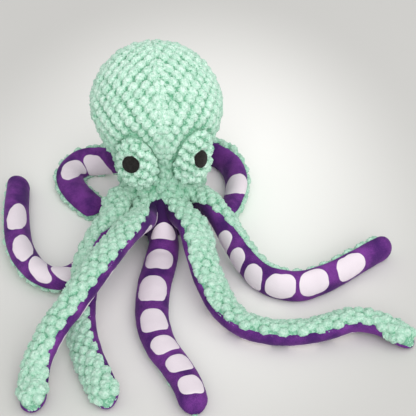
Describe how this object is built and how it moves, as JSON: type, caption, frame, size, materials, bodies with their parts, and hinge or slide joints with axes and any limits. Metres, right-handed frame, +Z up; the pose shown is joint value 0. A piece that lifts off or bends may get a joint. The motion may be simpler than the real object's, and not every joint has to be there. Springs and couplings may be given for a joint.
{
  "type": "plush octopus toy",
  "caption": "Stuffed plush octopus with a round bubble-textured head, raised eye mounds with felt eyes, and long hinged arms with smooth spotted undersides.",
  "frame": {"origin": "centre of the base's flat underside, on the floor", "axes": "+Z up; the face looks along -Y, turned a little towards +X; +X to the right when facing along +Y"},
  "size_m": [0.3268, 0.3334, 0.1525],
  "materials": {
    "mint_popcorn": "textured plush",
    "purple_velour": "short pile with printed spots",
    "black_felt": "matte felt",
    "fibre_filling": "loose fibre",
    "squeaker_plastic": "matte"
  },
  "bodies": {
    "body": {"base_cover": "purple_velour", "base_filling": "fibre_filling", "eye_left": "black_felt", "eye_mound_filling_left": "fibre_filling", "eye_mound_filling_right": "fibre_filling", "eye_mound_left": "mint_popcorn", "eye_mound_right": "mint_popcorn", "eye_right": "black_felt", "head_filling": "fibre_filling", "head_left_panel": "mint_popcorn", "head_right_panel": "mint_popcorn", "squeaker": "squeaker_plastic"},
    "arm_front_inner": {"arm_front_inner_filling": "fibre_filling", "arm_front_inner_top": "mint_popcorn", "arm_front_inner_under": "purple_velour"},
    "arm_front_outer": {"arm_front_outer_filling": "fibre_filling", "arm_front_outer_top": "mint_popcorn", "arm_front_outer_under": "purple_velour"},
    "arm_front_left_inner": {"arm_front_left_inner_filling": "fibre_filling", "arm_front_left_inner_top": "mint_popcorn", "arm_front_left_inner_under": "purple_velour"},
    "arm_front_left_outer": {"arm_front_left_outer_filling": "fibre_filling", "arm_front_left_outer_top": "mint_popcorn", "arm_front_left_outer_under": "purple_velour"},
    "arm_front_right_inner": {"arm_front_right_inner_filling": "fibre_filling", "arm_front_right_inner_top": "mint_popcorn", "arm_front_right_inner_under": "purple_velour"},
    "arm_front_right_outer": {"arm_front_right_outer_filling": "fibre_filling", "arm_front_right_outer_top": "mint_popcorn", "arm_front_right_outer_under": "purple_velour"},
    "arm_left_inner": {"arm_left_inner_filling": "fibre_filling", "arm_left_inner_top": "mint_popcorn", "arm_left_inner_under": "purple_velour"},
    "arm_left_outer": {"arm_left_outer_filling": "fibre_filling", "arm_left_outer_top": "mint_popcorn", "arm_left_outer_under": "purple_velour"},
    "arm_right_inner": {"arm_right_inner_filling": "fibre_filling", "arm_right_inner_top": "mint_popcorn", "arm_right_inner_under": "purple_velour"},
    "arm_right_outer": {"arm_right_outer_filling": "fibre_filling", "arm_right_outer_top": "mint_popcorn", "arm_right_outer_under": "purple_velour"},
    "arm_far_left_inner": {"arm_far_left_inner_filling": "fibre_filling", "arm_far_left_inner_top": "mint_popcorn", "arm_far_left_inner_under": "purple_velour"},
    "arm_far_left_outer": {"arm_far_left_outer_filling": "fibre_filling", "arm_far_left_outer_top": "mint_popcorn", "arm_far_left_outer_under": "purple_velour"},
    "arm_back_left_inner": {"arm_back_left_inner_filling": "fibre_filling", "arm_back_left_inner_top": "mint_popcorn", "arm_back_left_inner_under": "purple_velour"},
    "arm_back_left_outer": {"arm_back_left_outer_filling": "fibre_filling", "arm_back_left_outer_top": "mint_popcorn", "arm_back_left_outer_under": "purple_velour"},
    "arm_back_right_inner": {"arm_back_right_inner_filling": "fibre_filling", "arm_back_right_inner_top": "mint_popcorn", "arm_back_right_inner_under": "purple_velour"},
    "arm_back_right_outer": {"arm_back_right_outer_filling": "fibre_filling", "arm_back_right_outer_top": "mint_popcorn", "arm_back_right_outer_under": "purple_velour"}
  },
  "joints": [
    {"name": "arm_front_lift", "type": "hinge", "parent": "body", "child": "arm_front_inner", "pos_m": [0, -0.03527, 0.01755], "axis": [-1, 0, 0], "range_deg": [0, 24]},
    {"name": "arm_front_curl", "type": "hinge", "parent": "arm_front_inner", "child": "arm_front_outer", "pos_m": [-0.00367, -0.14664, 0.01658], "axis": [-0.9948, -0.1016, 0], "range_deg": [0, 65]},
    {"name": "arm_front_left_lift", "type": "hinge", "parent": "body", "child": "arm_front_left_inner", "pos_m": [-0.01119, -0.03344, 0.04265], "axis": [-0.9483, 0.3173, 0], "range_deg": [0, 45]},
    {"name": "arm_front_left_curl", "type": "hinge", "parent": "arm_front_left_inner", "child": "arm_front_left_outer", "pos_m": [-0.04646, -0.14489, 0.05808], "axis": [-0.8905, 0.4551, 0], "range_deg": [0, 65]},
    {"name": "arm_front_right_lift", "type": "hinge", "parent": "body", "child": "arm_front_right_inner", "pos_m": [0.01119, -0.03344, 0.04265], "axis": [-0.9483, -0.3173, 0], "range_deg": [0, 50]},
    {"name": "arm_front_right_curl", "type": "hinge", "parent": "arm_front_right_inner", "child": "arm_front_right_outer", "pos_m": [0.0599, -0.15086, 0.01922], "axis": [-0.7007, -0.7134, 0], "range_deg": [0, 55]},
    {"name": "arm_left_swing", "type": "hinge", "parent": "body", "child": "arm_left_inner", "pos_m": [-0.03528, -0.01076, 0.03325], "axis": [0, 0, -1], "range_deg": [0, 5]},
    {"name": "arm_left_curl", "type": "hinge", "parent": "arm_left_inner", "child": "arm_left_outer", "pos_m": [-0.0511, -0.18123, 0.01979], "axis": [-0.9627, -0.2704, 0], "range_deg": [0, 65]},
    {"name": "arm_right_lift", "type": "hinge", "parent": "body", "child": "arm_right_inner", "pos_m": [0.02924, -0.01972, 0.04387], "axis": [-0.5592, -0.829, 0], "range_deg": [0, 45]},
    {"name": "arm_right_curl", "type": "hinge", "parent": "arm_right_inner", "child": "arm_right_outer", "pos_m": [0.09144, -0.10884, 0.02507], "axis": [-0.4528, -0.8916, 0], "range_deg": [0, 55]},
    {"name": "arm_far_left_swing", "type": "hinge", "parent": "body", "child": "arm_far_left_inner", "pos_m": [-0.0339, -0.01505, 0.00875], "axis": [0, 0, -1], "range_deg": [0, 18]},
    {"name": "arm_far_left_curl", "type": "hinge", "parent": "arm_far_left_inner", "child": "arm_far_left_outer", "pos_m": [-0.10172, -0.08289, 0.01916], "axis": [0.8149, 0.5796, 0], "range_deg": [0, 65]},
    {"name": "arm_back_left_lift", "type": "hinge", "parent": "body", "child": "arm_back_left_inner", "pos_m": [-0.02267, 0.02702, 0.04265], "axis": [0.766, 0.6428, 0], "range_deg": [0, 45]},
    {"name": "arm_back_left_curl", "type": "hinge", "parent": "arm_back_left_inner", "child": "arm_back_left_outer", "pos_m": [-0.07966, 0.05646, 0.01825], "axis": [-0.8649, 0.5019, 0], "range_deg": [0, 45]},
    {"name": "arm_back_right_lift", "type": "hinge", "parent": "body", "child": "arm_back_right_inner", "pos_m": [0.02267, 0.02702, 0.04265], "axis": [0.766, -0.6428, 0], "range_deg": [0, 45]},
    {"name": "arm_back_right_curl", "type": "hinge", "parent": "arm_back_right_inner", "child": "arm_back_right_outer", "pos_m": [0.0568, 0.06477, 0.0231], "axis": [-0.9018, -0.4322, 0], "range_deg": [0, 40]}
  ]
}
